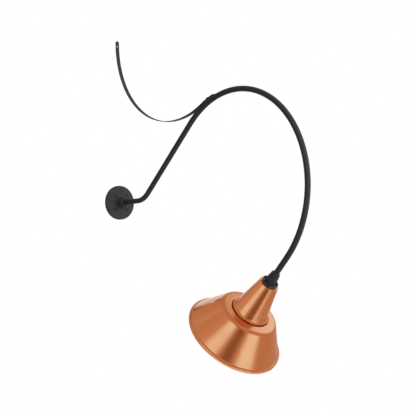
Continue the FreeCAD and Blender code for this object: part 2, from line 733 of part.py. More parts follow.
def make_end_coupling():
    """Tapered eight-sided coupling: the tube enters its top, the turning nipple leaves its base."""
    body = new_body("end_coupling")
    foot, collar = coupling_base - get("coupling_foot"), tube_seat + get("collar_wall")
    upper = new_sketch(body, "XY_Plane", coupling_top + get("collar_height"))
    outline(upper, polygon(coupling_top_flats, 8, 22.5))
    lower = new_sketch(body, "XY_Plane", foot)
    outline(lower, polygon(coupling_base_flats, 8, 22.5))
    loft = feature(body, "AdditiveLoft", upper, Ruled=True)
    loft.Sections = [lower]
    lower.Visibility = False
    chamfer = get("collar_chamfer")
    collar_end = coupling_top + get("collar_height")
    revolve(body, [
        (0, coupling_top), (collar - chamfer, coupling_top), (collar, coupling_top + chamfer),
        (collar, collar_end), (0, collar_end),
    ])
    disc = coupling_base_flats / 2
    revolve(body, [
        (0, foot), (disc, foot), (disc, coupling_base - chamfer), (disc - chamfer, coupling_base),
        (0, coupling_base),
    ])
    room = get("nipple_radius") + get("nipple_head_step") + get("nipple_play")
    room_end = nipple_seat + part_gap
    snug = get("nipple_radius") + turn_gap
    tube_stop = tail + slide_gap
    revolve(body, [
        (0, coupling_top), (tube_seat, coupling_top), (tube_seat, tube_stop), (room, tube_stop),
        (room, room_end), (snug, room_end), (snug, coupling_base), (0, coupling_base),
    ], kind="Groove")
    sketch = new_sketch(body, "XZ_Plane")
    circle(sketch, (0, coupling_base - get("grip_screw_inset")), get("grip_screw_radius") + turn_gap)
    hole = feature(body, "Pocket", sketch, Type="Length", Length=coupling_base_flats)
    repeat(body, hole, 2, 90.0)
    return finish(body, on_lamp)


def make_coupling_screws():
    """Two grip screws a quarter turn apart; backed off, they let the lamp turn on the nipple."""
    tip = get("nipple_radius") + part_gap
    length = coupling_base_flats / 2 - get("grip_screw_sink") - tip
    station = coupling_base - get("grip_screw_inset")
    screws = []
    for turn, axis in ((90.0, "y"), (180.0, "x")):
        way = Rotation(Vector(0, 0, 1), turn).multVec(Vector(1, 0, 0))
        screw = doc.addObject("Part::Cylinder", "coupling_screw")
        bind(screw, "Radius", get("grip_screw_radius"))
        bind(screw, "Height", length)
        screw.Placement = Placement(way * tip.value + Vector(0, 0, station.value), Rotation(Vector(0, 0, 1), way))
        bind(screw, "Placement.Base." + axis, tip * (1 if axis == "y" else -1))
        bind(screw, "Placement.Base.z", station)
        screws.append(screw)
    return group("coupling_screws", screws, on_lamp)


def make_swivel_nipple():
    body = new_body("swivel_nipple")
    bore, radius = get("nipple_bore"), get("nipple_radius")
    head, low = radius + get("nipple_head_step"), nipple_seat - get("nipple_head")
    end = neck_top + get("nipple_reach")
    revolve(body, [
        (bore, low), (head, low), (head, nipple_seat), (radius, nipple_seat), (radius, end), (bore, end),
    ])
    return finish(body, on_lamp)


def make_seal_cup():
    """Round black cup: the coupling's base turns inside its rim, its floor seals on the neck."""
    body = new_body("seal_cup")
    outer, lip, bend = get("cup_radius"), get("cup_lip"), get("cup_round")
    floor, rim = neck_top - get("cup_floor"), neck_top - get("cup_height") + lip / 2
    hole = get("nipple_radius") + slide_gap
    points = [
        (hole, neck_top), (hole, floor), (outer - lip - bend, floor), (outer - lip, floor - bend),
        (outer - lip, rim), (outer, rim), (outer, neck_top),
    ]
    revolve(body, points, {2: (bend, False), 4: (lip / 2, True)})
    return finish(body, on_lamp)


# ---------------------------------------------------------------- copper neck
wall = get("sheet_wall")
seat_in = get("lip_radius") - get("seat_width")
clamp_reach = seat_in + get("clamp_inset")


def drill_clamp_holes(body, low, high):
    places = [(clamp_reach, 0)]
    return repeat(body, drill_up(body, places, get("clamp_screw_radius") + slide_gap, low, high), 3)


def make_neck():
    """Spun cone, flared out at its foot to a rolled lip, with a flat seat turned in under the lip."""
    body = new_body("neck")
    roll, reach = get("lip_roll"), get("lip_radius") - get("lip_roll")
    lip_top = neck_foot + get("lip_drop")
    corners = [
        (get("nipple_radius") + slide_gap, neck_top), (get("neck_top_radius"), neck_top),
        (get("lip_radius") - get("flare_width"), neck_foot), (reach, lip_top),
    ]
    revolve(body, *sheet_strip(corners, {1: get("neck_round"), 2: get("flare_round")}, wall))
    seat_top = neck_under - wall
    revolve(body, [
        (seat_in, neck_under), (seat_in, seat_top), (reach - roll, seat_top), (reach, lip_top),
        (reach, neck_under),
    ], {3: (roll, True)})
    drill_clamp_holes(body, seat_top, neck_under)
    return finish(body, on_lamp)


def make_clamp_washer():
    body = new_body("clamp_washer")
    low = neck_top + wall
    hole = get("nipple_radius") + slide_gap
    pad_circle(body, get("washer_radius"), low, low + get("washer_height"), hole)
    return finish(body, on_lamp)


def make_clamp_nut():
    body = new_body("clamp_nut")
    low = neck_top + wall + get("washer_height")
    pad_polygon(body, polygon(get("nut_flats"), 6), low, low + get("nut_height"), get("nipple_radius"))
    return finish(body, on_lamp)


# ---------------------------------------------------------------- copper shade and what clamps it
def make_spacer_ring():
    body = new_body("spacer_ring")
    half = get("spacer_width") / 2
    pad_circle(body, clamp_reach + half, neck_under, shade_top, clamp_reach - half)
    drill_clamp_holes(body, neck_under, shade_top)
    return finish(body, on_lamp)


def make_shade():
    """Spun shade: seat, groove under the neck's lip, low crown, round shoulder, straight skirt, rolled rim."""
    body = new_body("shade")
    skirt = get("skirt_radius")
    bead, bead_end = skirt + get("bead_out"), skirt_end + get("bead_height")
    groove = get("lip_radius") - get("groove_width")
    corners = [
        (seat_in, shade_top), (groove, shade_top),
        (groove + get("groove_wall_width"), shade_top - get("crown_rise")),
        (get("shoulder_radius"), shoulder), (skirt, skirt_end), (bead, skirt_end + get("bead_drop")),
        (bead, bead_end), (bead - get("bead_turn"), bead_end),
    ]
    rounds = {
        1: get("groove_round"), 2: get("crown_round"), 3: get("shoulder_round"), 4: get("bead_entry_round"),
        5: get("bead_upper_round"), 6: get("bead_lower_round"),
    }
    revolve(body, *sheet_strip(corners, rounds, wall))
    drill_clamp_holes(body, shade_top, shade_top + wall)
    cut_vent_slots(body)
    return finish(body, on_lamp)


def cut_vent_slots(body):
    """A round-ended slot through the skirt each side of the arm's plane, near the upper side."""
    half = get("slot_width") / 2
    start = shoulder + get("slot_drop")
    end = start + get("slot_length")
    sketch = new_sketch(body, "YZ_Plane")
    sketch.AttachmentOffset = Placement(Vector(0, 0, 0), Rotation(Vector(0, 1, 0), driving["slot_angle"]))
    bind(sketch, "AttachmentOffset.Rotation.Angle", get("slot_angle"))
    outline(sketch, rectangle(-half, start + half, half, end - half), {0: (half, True), 2: (half, True)})
    slot = feature(body, "Pocket", sketch, Type="Length", Length=get("skirt_radius"), Reversed=True)
    other = body.newObject("PartDesign::Mirrored", "shade_mirrored")
    other.Originals = [slot]
    other.MirrorPlane = (origin_item(body, "XZ_Plane"), [""])
    body.Tip = other


def ring_of_three(label, make_one):
    """Three copies of a small body on the clamp circle."""
    items = []
    for n in range(3):
        item = make_one(label + "_piece")
        angle = math.radians(120.0 * n)
        bind(item, "Placement.Base.x", clamp_reach * math.cos(angle))
        bind(item, "Placement.Base.y", clamp_reach * math.sin(angle))
        items.append(item)
    return group(label, items, on_lamp)


def clamp_screw(label):
    """Pan-head screw from inside the shade, up through the shade's seat, the spacer and the neck's seat."""
    body = new_body(label)
    seat = shade_top + wall
    shank, head, bend = get("clamp_screw_radius"), get("clamp_head_radius"), get("clamp_head_round")
    tip = neck_under - wall - get("clamp_nut_height") - get("clamp_tip")
    top = seat + get("clamp_head_height")
    points = [(0, tip), (shank, tip), (shank, seat), (head, seat), (head, top - bend), (head - bend, top), (0, top)]
    revolve(body, points, {4: (bend, True)})
    return body


def clamp_nut(label):
    body = new_body(label)
    high = neck_under - wall
    corners = polygon(get("clamp_nut_flats"), 6)
    pad_polygon(body, corners, high - get("clamp_nut_height"), high, get("clamp_screw_radius"))
    return body


# ---------------------------------------------------------------- lampholder
shell_outer = get("shell_radius")
insert_outer = shell_outer + get("insert_step")
holder_outer = insert_outer + slide_gap + get("holder_side")


def make_holder_cap():
    """Domed cap that screws on the nipple; its skirt closes over the ceramic insert."""
    body = new_body("holder_cap")
    outer, thick, hole = holder_outer, get("holder_wall"), get("nipple_radius")
    neck, neck_end = hole + get("holder_neck"), holder_top + get("holder_neck")
    dome = neck_end + get("holder_dome")
    points = [
        (hole, holder_top), (neck, holder_top), (neck, neck_end), (outer, dome), (outer, holder_seam),
        (outer - thick, holder_seam), (outer - thick, dome + thick / 2), (hole + thick, neck_end + thick),
        (hole, neck_end + thick),
    ]
    revolve(body, points)
    return finish(body, on_lamp)


def make_holder_body():
    """Moulded sleeve under the cap, with two beads round it."""
    body = new_body("holder_body")
    outer, bead, top = holder_outer, get("holder_bead"), holder_seam + slide_gap
    end = holder_seam + get("holder_length")
    inner, room, seat = shell_outer + get("shell_play"), insert_outer + slide_gap, insert_end
    points = [(room, top), (outer, top)]
    for middle in (holder_seam + get("holder_length") / 3, end - get("holder_length") / 5):
        points += [
            (outer, middle - 2 * bead), (outer + bead, middle - bead), (outer + bead, middle + bead),
            (outer, middle + 2 * bead),
        ]
    points += [(outer, end - bead / 2), (outer - bead / 2, end), (inner, end), (inner, seat), (room, seat)]
    revolve(body, points)
    return finish(body, on_lamp)


def make_holder_insert():
    """Ceramic insert that carries the contacts, with two wire ways through it."""
    body = new_body("holder_insert")
    pad_circle(body, insert_outer, insert_top, insert_end - slide_gap)
    ways = [(get("insert_way") * side, 0) for side in (-1, 1)]
    drill_up(body, ways, get("core_radius") + slide_gap, insert_top, insert_end)
    return finish(body, on_lamp)


def make_screw_shell():
    """Brass shell that the bulb's cap screws into."""
    body = new_body("screw_shell")
    thick, seat, low = get("shell_wall"), shell_outer - get("shell_seat"), insert_end - slide_gap
    inner = shell_outer - thick
    revolve(body, [
        (seat, low), (shell_outer, low), (shell_outer, shell_end), (inner, shell_end), (inner, low + thick),
        (seat, low + thick),
    ])
    return finish(body, on_lamp)


def make_centre_contact():
    """Bent spring tongue under the bulb's tip."""
    body = new_body("centre_contact")
    low, half, thick = insert_end - slide_gap, get("contact_length") / 2, get("contact_thickness")
    peak, crest = bulb_tip - part_gap, get("tip_radius")
    points = [
        (-half, low), (half, low), (half, low + thick), (crest, peak), (-crest, peak), (-crest, peak - thick),
        (crest - thick, peak - thick), (half - get("contact_foot"), low + thick), (-half, low + thick),
    ]
    sketch = new_sketch(body, "XZ_Plane")
    outline(sketch, points)
    feature(body, "Pad", sketch, Length=get("contact_width"), Midplane=True)
    return finish(body, on_lamp)


def make_insert_screws():
    """Terminal screws on the insert's upper face."""
    places = [(0, get("insert_way") * side) for side in (-1, 1)]
    low = insert_top - get("insert_screw_sink")
    return round_pieces("insert_screws", get("insert_screw_radius"), places, low, insert_top, on_lamp)


# ---------------------------------------------------------------- bulb
cap_outer = shell_outer - get("shell_wall") - get("bulb_play")
collar_outer = cap_outer - get("bulb_cap_wall") - slide_gap


def make_bulb_cap():
    """Rolled metal cap, open to the glass at its end."""
    body = new_body("bulb_cap")
    neck, turn = cap_outer - get("bulb_cap_cone"), get("bulb_cap_turn")
    corners = [
        (neck - turn, bulb_cap_top - get("bulb_cap_lip")), (neck, bulb_cap_top),
        (cap_outer, bulb_cap_top + turn), (cap_outer, bulb_cap_end),
    ]
    revolve(body, *sheet_strip(corners, {}, get("bulb_cap_wall")))
    return finish(body, on_lamp)


def make_bulb_tip():
    """Insulator and solder tip closing the cap's end."""
    body = new_body("bulb_tip")
    tip, edge = get("tip_radius"), cap_outer - get("insulator_inset")
    top = bulb_cap_top - get("bulb_cap_lip") + get("tip_edge") / 3
    revolve(body, [
        (0, bulb_tip), (tip, bulb_tip), (tip + get("tip_edge"), bulb_tip + get("tip_bevel")), (edge, top),
        (0, top),
    ])
    return finish(body, on_lamp)


def make_bulb_glass():
    """Pear-shaped glass: a ball, two flanks that curve in to the neck, and a collar inside the cap."""
    body = new_body("bulb_glass")
    radius, thick, flank = get("bulb_radius"), get("glass_wall"), get("bulb_flank_radius")
    centre = bulb_cap_end + get("bulb_rise")
    seam, throat = bulb_cap_end + slide_gap, bulb_cap_end + get("bulb_throat")
    neck = cap_outer + get("bulb_neck_step")
    waist, foot = neck + get("bulb_waist_step"), seam - get("collar_depth")
    points = [
        (0, centre + radius), (radius, centre), (waist, throat), (neck, seam), (collar_outer, seam),
        (collar_outer, foot), (collar_outer - thick, foot), (collar_outer - thick, seam + thick),
        (waist - thick, throat), (radius - thick, centre), (0, centre + radius - thick),
    ]
    arcs = {0: (radius, False), 1: (flank, False), 8: (flank - thick, True), 9: (radius - thick, True)}
    revolve(body, points, arcs)
    return finish(body, on_lamp)


def make_filament_stem():
    """Glass stem fused to the bulb's collar, drawn in to a rod that carries the filament."""
    body = new_body("filament_stem")
    low, rod = bulb_cap_end - get("stem_seat"), get("stem_radius")
    seal = collar_outer - get("glass_wall") - slide_gap
    end = low + get("stem_length")
    revolve(body, [
        (0, low), (seal, low), (2 * rod, low + get("stem_flare")), (rod, low + get("stem_taper")), (rod, end),
        (0, end),
    ])
    return finish(body, on_lamp)


def make_filament():
    """Lead wires and the arched filament, one thin bent wire."""
    low = bulb_cap_end.value + driving["filament_lift"]
    foot = driving["stem_radius"] + driving["filament_radius"]
    half = [
        Vector(foot, 0, low), Vector(driving["filament_spread"], 0, low + driving["filament_side"]),
        Vector(driving["filament_crown"], 0, low + driving["filament_rise"]),
    ]
    points = [Vector(-point.x, 0, point.z) for point in half] + half[::-1]
    wire = bent_wire(points, driving["filament_radius"], driving["filament_bend"])
    return shape_node("filament", wire, on_lamp)


# ---------------------------------------------------------------- cable and cores
def make_inner_cable():
    """Sheathed cable through the whole arm, from the flange to the lampholder."""
    body = new_body("inner_cable")
    start = get("tube_start") + get("cable_reach")
    path = new_sketch(body, "XZ_Plane")
    outline(path, arm_path(start, holder_top + get("cable_drop")), arm_bends, closed=False)
    section = new_sketch(body, "YZ_Plane", start)
    circle(section, (0, 0), get("cable_radius"))
    feature(body, "AdditivePipe", section).Spine = path
    path.Visibility = False
    return finish(body)


def make_wall_cores():
    """Three cores from the cable's end, out of the tube and down into the terminal block."""
    start = driving["tube_start"] + driving["cable_reach"]
    level = driving["block_lift"] + driving["block_height"] / 2
    top = driving["block_width"] / 2 - driving["block_drop"]
    apart = driving["cable_radius"] - driving["core_radius"] - driving["slide_gap"]
    cores = []
    for way in (-1, 0, 1):
        beside = driving["block_pitch"] * way
        points = [Vector(start, apart * way, 0), Vector(level, apart * way, 0)]
        if way:
            points.append(Vector(level, beside, top + driving["core_entry"]))
        points.append(Vector(level, beside, top - driving["core_entry"]))
        cores.append(bent_wire(points, driving["core_radius"], driving["core_bend"]))
    return shape_node("wall_cores", Part.makeCompound(cores))


def make_lamp_cores():
    """Two cores from the cable's end to the wire ways of the insert."""
    start = (holder_top + get("cable_drop") + part_gap).value
    way, beside = driving["insert_way"], driving["core_radius"] + part_gap.value
    end = insert_top.value + driving["core_entry"]
    cores = []
    for side in (-1, 1):
        points = [
            Vector(beside * side, 0, start), Vector(beside * side, 0, start + driving["core_straight"]),
            Vector(way * side, 0, start + 2 * driving["core_straight"]), Vector(way * side, 0, end),
        ]
        cores.append(bent_wire(points, driving["core_radius"], driving["core_bend"] / 2))
    return shape_node("lamp_cores", Part.makeCompound(cores), on_lamp)


# ---------------------------------------------------------------- build
make_wall_flange()
make_wall_gasket()
make_arm_tube()
make_arm_locknut()
make_hub_set_screw()
make_terminal_block()
make_terminal_screws()
make_block_screws()
make_earth_screw()
make_stay_strap()
make_stay_screw()
make_stay_insert()
make_end_coupling()
make_coupling_screws()
make_swivel_nipple()
make_seal_cup()
make_neck()
make_clamp_washer()
make_clamp_nut()
make_spacer_ring()
make_shade()
ring_of_three("clamp_screws", clamp_screw)
ring_of_three("clamp_nuts", clamp_nut)
make_holder_cap()
make_holder_body()
make_holder_insert()
make_screw_shell()
make_centre_contact()
make_insert_screws()
make_bulb_cap()
make_bulb_tip()
make_bulb_glass()
make_filament_stem()
make_filament()
make_inner_cable()
make_wall_cores()
make_lamp_cores()

doc.recompute()

faults = []
for item in doc.Objects:
    if "Invalid" in item.State or "Error" in item.State:
        faults.append("%s: %s" % (item.Label, item.State))
for item in nodes:
    if item.Shape.isNull() or not item.Shape.isValid() or not item.Shape.Solids:
        faults.append("%s has no valid solid" % item.Label)
if faults:
    raise SystemExit("not written:\n" + "\n".join(faults))

os.makedirs("parts", exist_ok=True)
for item in nodes:
    item.Shape.exportStep(os.path.join("parts", item.Label + ".step"))
    print("%-18s solids %d  volume %10.1f mm3" % (item.Label, len(item.Shape.Solids), item.Shape.Volume))
print(len(nodes), "nodes")
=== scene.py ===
import json
import math

import bmesh
import bpy
from mathutils import Matrix, Vector


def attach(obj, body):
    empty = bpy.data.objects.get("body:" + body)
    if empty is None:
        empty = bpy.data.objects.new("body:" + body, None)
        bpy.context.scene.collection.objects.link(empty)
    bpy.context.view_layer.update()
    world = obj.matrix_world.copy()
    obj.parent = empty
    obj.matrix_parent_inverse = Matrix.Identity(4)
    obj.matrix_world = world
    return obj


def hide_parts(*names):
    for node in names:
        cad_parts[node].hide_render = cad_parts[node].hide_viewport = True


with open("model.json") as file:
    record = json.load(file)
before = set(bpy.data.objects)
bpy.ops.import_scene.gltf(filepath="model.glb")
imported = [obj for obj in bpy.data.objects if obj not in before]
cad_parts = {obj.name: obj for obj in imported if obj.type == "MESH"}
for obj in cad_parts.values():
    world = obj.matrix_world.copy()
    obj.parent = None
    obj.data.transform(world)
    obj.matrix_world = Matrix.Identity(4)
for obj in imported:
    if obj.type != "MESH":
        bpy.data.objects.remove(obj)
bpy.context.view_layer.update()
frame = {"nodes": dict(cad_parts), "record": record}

nodes = frame["nodes"]
mm = 0.001


def toLinear(hexText):
    channels = [int(hexText[i:i + 2], 16) / 255 for i in (0, 2, 4)]
    return tuple(c / 12.92 if c <= 0.04045 else ((c + 0.055) / 1.055) ** 2.4 for c in channels) + (1.0,)


def addNode(tree, kind, inputs=None, **settings):
    # an input is given by its name or number, as a value or as the output that feeds it
    node = tree.nodes.new(kind)
    for name, value in settings.items():
        setattr(node, name, value)
    for name, value in (inputs or {}).items():
        if isinstance(value, bpy.types.NodeSocket):
            tree.links.new(value, node.inputs[name])
        else:
            node.inputs[name].default_value = value
    return node


def newMaterial(name, hexColor, roughness, **sockets):
    material = bpy.data.materials.new(name)
    material.use_nodes = True
    tree = material.node_tree
    shader = tree.nodes["Principled BSDF"]
    shader.inputs["Base Color"].default_value = toLinear(hexColor)
    shader.inputs["Roughness"].default_value = roughness
    for socket, value in sockets.items():
        shader.inputs[socket.replace("_", " ")].default_value = value
    material.diffuse_color = toLinear(hexColor)
    return material, tree, shader


# Spun copper sheet, polished on the lathe and lacquered: long soft highlights broken by hair-fine
# lines that run round the lamp's axis, with faint cloudy warmth. The shade's inside is left raw, rougher
# and barely lacquered, and its colour is a darker brown there as painted shade, where little light falls.
copperLook = {
    # the last colour here is the inside's darker brown: painted shade where little light falls, not a colour
    # of the copper
    "color": "F2AE7B", "warmColor": "EDA06B", "insideShade": "7A3E24",
    "polish": (0.17, 0.26), "rawRoughness": 0.5,
    "lineMm": 0.7,      # real lathe lines are near 0.2 mm, which is too fine to show
    "waveMm": 7.0, "cloudMm": 45.0, "lineDepthMm": 0.012, "lineStrength": 0.6,
    "lineShare": 0.35,  # of the fine lines in the height, against the broad waves
    "drift": 0.0006,    # sideways step in the pattern per radian, so that a line fades as it goes round
    "innerEdge": (-0.15, -0.45),    # slope at which outside turns into inside
    "lacquer": 0.55, "rawLacquer": 0.05, "lacquerRoughness": 0.12,
    "axisOrigin": Vector((930.710, 0.0, -236.408)) * mm, "tiltDegrees": 135.0,
}


def spunCopper(name, paintedShadeInside):
    look = copperLook
    material, tree, shader = newMaterial(name, look["color"], 0.2, Metallic=1.0)
    coords = addNode(tree, "ShaderNodeTexCoord").outputs
    moved = addNode(
        tree, "ShaderNodeVectorMath", {0: coords["Object"], 1: look["axisOrigin"]}, operation="SUBTRACT")
    turn = {"Axis": (0.0, 1.0, 0.0), "Angle": math.radians(look["tiltDegrees"])}
    place = addNode(
        tree, "ShaderNodeVectorRotate", {
            "Vector": moved.outputs["Vector"], **turn
        }, rotation_type="AXIS_ANGLE")
    parts = addNode(tree, "ShaderNodeSeparateXYZ", {"Vector": place.outputs["Vector"]}).outputs
    across = addNode(tree, "ShaderNodeCombineXYZ", {"X": parts["X"], "Y": parts["Y"]}).outputs["Vector"]
    reach = addNode(tree, "ShaderNodeVectorMath", {0: across}, operation="LENGTH").outputs["Value"]
    around = addNode(
        tree, "ShaderNodeMath", {0: parts["Y"], 1: parts["X"]}, operation="ARCTAN2").outputs["Value"]
    drift = addNode(
        tree, "ShaderNodeMath", {0: around, 1: look["drift"]}, operation="MULTIPLY").outputs["Value"]
    along = addNode(tree, "ShaderNodeMath", {0: parts["Z"], 1: reach}, operation="ADD").outputs["Value"]
    ring = addNode(tree, "ShaderNodeCombineXYZ", {"X": along, "Y": drift}).outputs["Vector"]
    line = addNode(tree, "ShaderNodeTexNoise", {
        "Vector": ring, "Scale": 1000 / look["lineMm"], "Detail": 4.0, "Roughness": 0.7}).outputs["Fac"]
    wave = addNode(
        tree, "ShaderNodeTexNoise", {
            "Vector": ring, "Scale": 1000 / look["waveMm"], "Detail": 2.0
        }).outputs["Fac"]
    cloud = addNode(tree, "ShaderNodeTexNoise", {
        "Vector": coords["Object"], "Scale": 1000 / look["cloudMm"], "Detail": 4.0}).outputs["Fac"]
    height = addNode(
        tree, "ShaderNodeMath", {
            0: line, 1: look["lineShare"], 2: wave
        }, operation="MULTIPLY_ADD").outputs["Value"]
    bump = addNode(
        tree, "ShaderNodeBump", {
            "Height": height, "Strength": look["lineStrength"], "Distance": look["lineDepthMm"] * mm
        })
    tree.links.new(bump.outputs["Normal"], shader.inputs["Normal"])
    tone = addNode(tree, "ShaderNodeMix", {
        0: cloud, 6: toLinear(look["color"]), 7: toLinear(look["warmColor"])}, data_type="RGBA").outputs[2]
    low, high = look["polish"]
    rough = addNode(
        tree, "ShaderNodeMapRange", {"Value": cloud, "To Min": low, "To Max": high}).outputs["Result"]
    # inside faces get a darker brown colour as painted shade, and a rougher finish with little lacquer
    if paintedShadeInside:
        facing = addNode(
            tree, "ShaderNodeVectorRotate", {
                "Vector": coords["Normal"], **turn
            }, rotation_type="AXIS_ANGLE")
        outward = addNode(
            tree, "ShaderNodeVectorMath", {0: across}, operation="NORMALIZE").outputs["Vector"]
        outer = addNode(
            tree, "ShaderNodeVectorMath", {0: outward, 1: (0.0, 0.0, 1.0)}, operation="SUBTRACT")
        match = addNode(tree, "ShaderNodeVectorMath", {
            0: outer.outputs["Vector"], 1: facing.outputs["Vector"]}, operation="DOT_PRODUCT")
        outside, inside = look["innerEdge"]
        inner = addNode(tree, "ShaderNodeMapRange", {
            "Value": match.outputs["Value"], "From Min": outside, "From Max": inside}).outputs["Result"]
        tone = addNode(
            tree, "ShaderNodeMix", {
                0: inner, 6: tone, 7: toLinear(look["insideShade"])
            }, data_type="RGBA").outputs[2]
        rough = addNode(tree, "ShaderNodeMix", {0: inner, 2: rough, 3: look["rawRoughness"]}).outputs[0]
        lacquer = addNode(
            tree, "ShaderNodeMapRange", {
                "Value": inner, "To Min": look["lacquer"], "To Max": look["rawLacquer"]
            }).outputs["Result"]
        tree.links.new(lacquer, shader.inputs["Coat Weight"])
    else:
        shader.inputs["Coat Weight"].default_value = look["lacquer"]
    shader.inputs["Coat Roughness"].default_value = look["lacquerRoughness"]
    tree.links.new(tone, shader.inputs["Base Color"])
    tree.links.new(rough, shader.inputs["Roughness"])
    return material


# Polyester powder coat on steel tube and bar: matte black with a fine orange peel that breaks the
# highlight along the tube into soft sparkle.
powderLook = {
    "color": "2D2E30", "peelMm": 0.8, "peelDepthMm": 0.05, "peelStrength": 0.7, "patchMm": 25.0,
    "roughness": (0.42, 0.56), "specular": 0.25, "specularTint": (0.75, 0.9, 1.0, 1.0),
}


def powderCoat():
    look = powderLook
    material, tree, shader = newMaterial("blackPowderCoat", look["color"], 0.5)
    shader.inputs["Specular IOR Level"].default_value = look["specular"]
    shader.inputs["Specular Tint"].default_value = look["specularTint"]
    place = addNode(tree, "ShaderNodeTexCoord").outputs["Object"]
    peel = addNode(
        tree, "ShaderNodeTexNoise", {
            "Vector": place, "Scale": 1000 / look["peelMm"], "Detail": 3.0
        }).outputs["Fac"]
    bump = addNode(
        tree, "ShaderNodeBump", {
            "Height": peel, "Strength": look["peelStrength"], "Distance": look["peelDepthMm"] * mm
        })
    tree.links.new(bump.outputs["Normal"], shader.inputs["Normal"])
    patch = addNode(
        tree, "ShaderNodeTexNoise", {"Vector": place, "Scale": 1000 / look["patchMm"]}).outputs["Fac"]
    low, high = look["roughness"]
    rough = addNode(tree, "ShaderNodeMapRange", {"Value": patch, "To Min": low, "To Max": high})
    tree.links.new(rough.outputs["Result"], shader.inputs["Roughness"])
    return material


# Sand-cast iron, faced on a lathe and painted black: rings from the tool under a thin coat, small pits
# from the sand, and a slightly cloudy grey tone.
castLook = {
    "color": "373839", "cloudColor": "303132", "pitMm": 1.2, "pitDepthMm": 0.02, "pitStrength": 0.5,
    "ringMm": 2.4,      # tool rings are nearer 0.5 mm, drawn coarser so that they show
    "ringDepthMm": 0.06, "ringStrength": 0.7, "cloudMm": 20.0, "roughness": (0.5, 0.7), "specular": 0.25,
}


def castPaint():
    look = castLook
    material, tree, shader = newMaterial("blackPaintedCasting", look["color"], 0.6)
    shader.inputs["Specular IOR Level"].default_value = look["specular"]
    place = addNode(tree, "ShaderNodeTexCoord").outputs["Object"]
    parts = addNode(tree, "ShaderNodeSeparateXYZ", {"Vector": place}).outputs
    faceOn = addNode(tree, "ShaderNodeCombineXYZ", {"Y": parts["Y"], "Z": parts["Z"]}).outputs["Vector"]
    reach = addNode(tree, "ShaderNodeVectorMath", {0: faceOn}, operation="LENGTH").outputs["Value"]
    ring = addNode(tree, "ShaderNodeCombineXYZ", {"X": reach}).outputs["Vector"]
    rings = addNode(
        tree, "ShaderNodeTexNoise", {
            "Vector": ring, "Scale": 1000 / look["ringMm"], "Detail": 2.0
        }).outputs["Fac"]
    pits = addNode(tree, "ShaderNodeTexNoise", {
        "Vector": place, "Scale": 1000 / look["pitMm"], "Detail": 5.0, "Roughness": 0.65}).outputs["Fac"]
    pitBump = addNode(
        tree, "ShaderNodeBump", {
            "Height": pits, "Strength": look["pitStrength"], "Distance": look["pitDepthMm"] * mm
        })
    ringBump = addNode(tree, "ShaderNodeBump", {
        "Height": rings, "Strength": look["ringStrength"], "Distance": look["ringDepthMm"] * mm,
        "Normal": pitBump.outputs["Normal"]})
    tree.links.new(ringBump.outputs["Normal"], shader.inputs["Normal"])
    cloud = addNode(
        tree, "ShaderNodeTexNoise", {
            "Vector": place, "Scale": 1000 / look["cloudMm"], "Detail": 3.0
        }).outputs["Fac"]
    tone = addNode(tree, "ShaderNodeMix", {
        0: cloud, 6: toLinear(look["color"]), 7: toLinear(look["cloudColor"])}, data_type="RGBA")
    tree.links.new(tone.outputs[2], shader.inputs["Base Color"])
    low, high = look["roughness"]
    rough = addNode(tree, "ShaderNodeMapRange", {"Value": cloud, "To Min": low, "To Max": high})
    tree.links.new(rough.outputs["Result"], shader.inputs["Roughness"])
    return material


smallPart = {"grainStrength": 0.6, "glossSpread": 0.2}


def plainFinish(name, hexColor, roughness, grainMm, depthMm, **sockets):
    # a small part's finish: one fine grain moves its gloss and its surface a little
    material, tree, shader = newMaterial(name, hexColor, roughness, **sockets)
    place = addNode(tree, "ShaderNodeTexCoord").outputs["Object"]
    grain = addNode(
        tree, "ShaderNodeTexNoise", {
            "Vector": place, "Scale": 1000 / grainMm, "Detail": 3.0
        }).outputs["Fac"]
    bump = addNode(
        tree, "ShaderNodeBump", {
            "Height": grain, "Strength": smallPart["grainStrength"], "Distance": depthMm * mm
        })
    tree.links.new(bump.outputs["Normal"], shader.inputs["Normal"])
    low, high = (roughness * (1 + way * smallPart["glossSpread"]) for way in (-1, 1))
    rough = addNode(tree, "ShaderNodeMapRange", {"Value": grain, "To Min": low, "To Max": high})
    tree.links.new(rough.outputs["Result"], shader.inputs["Roughness"])
    return material


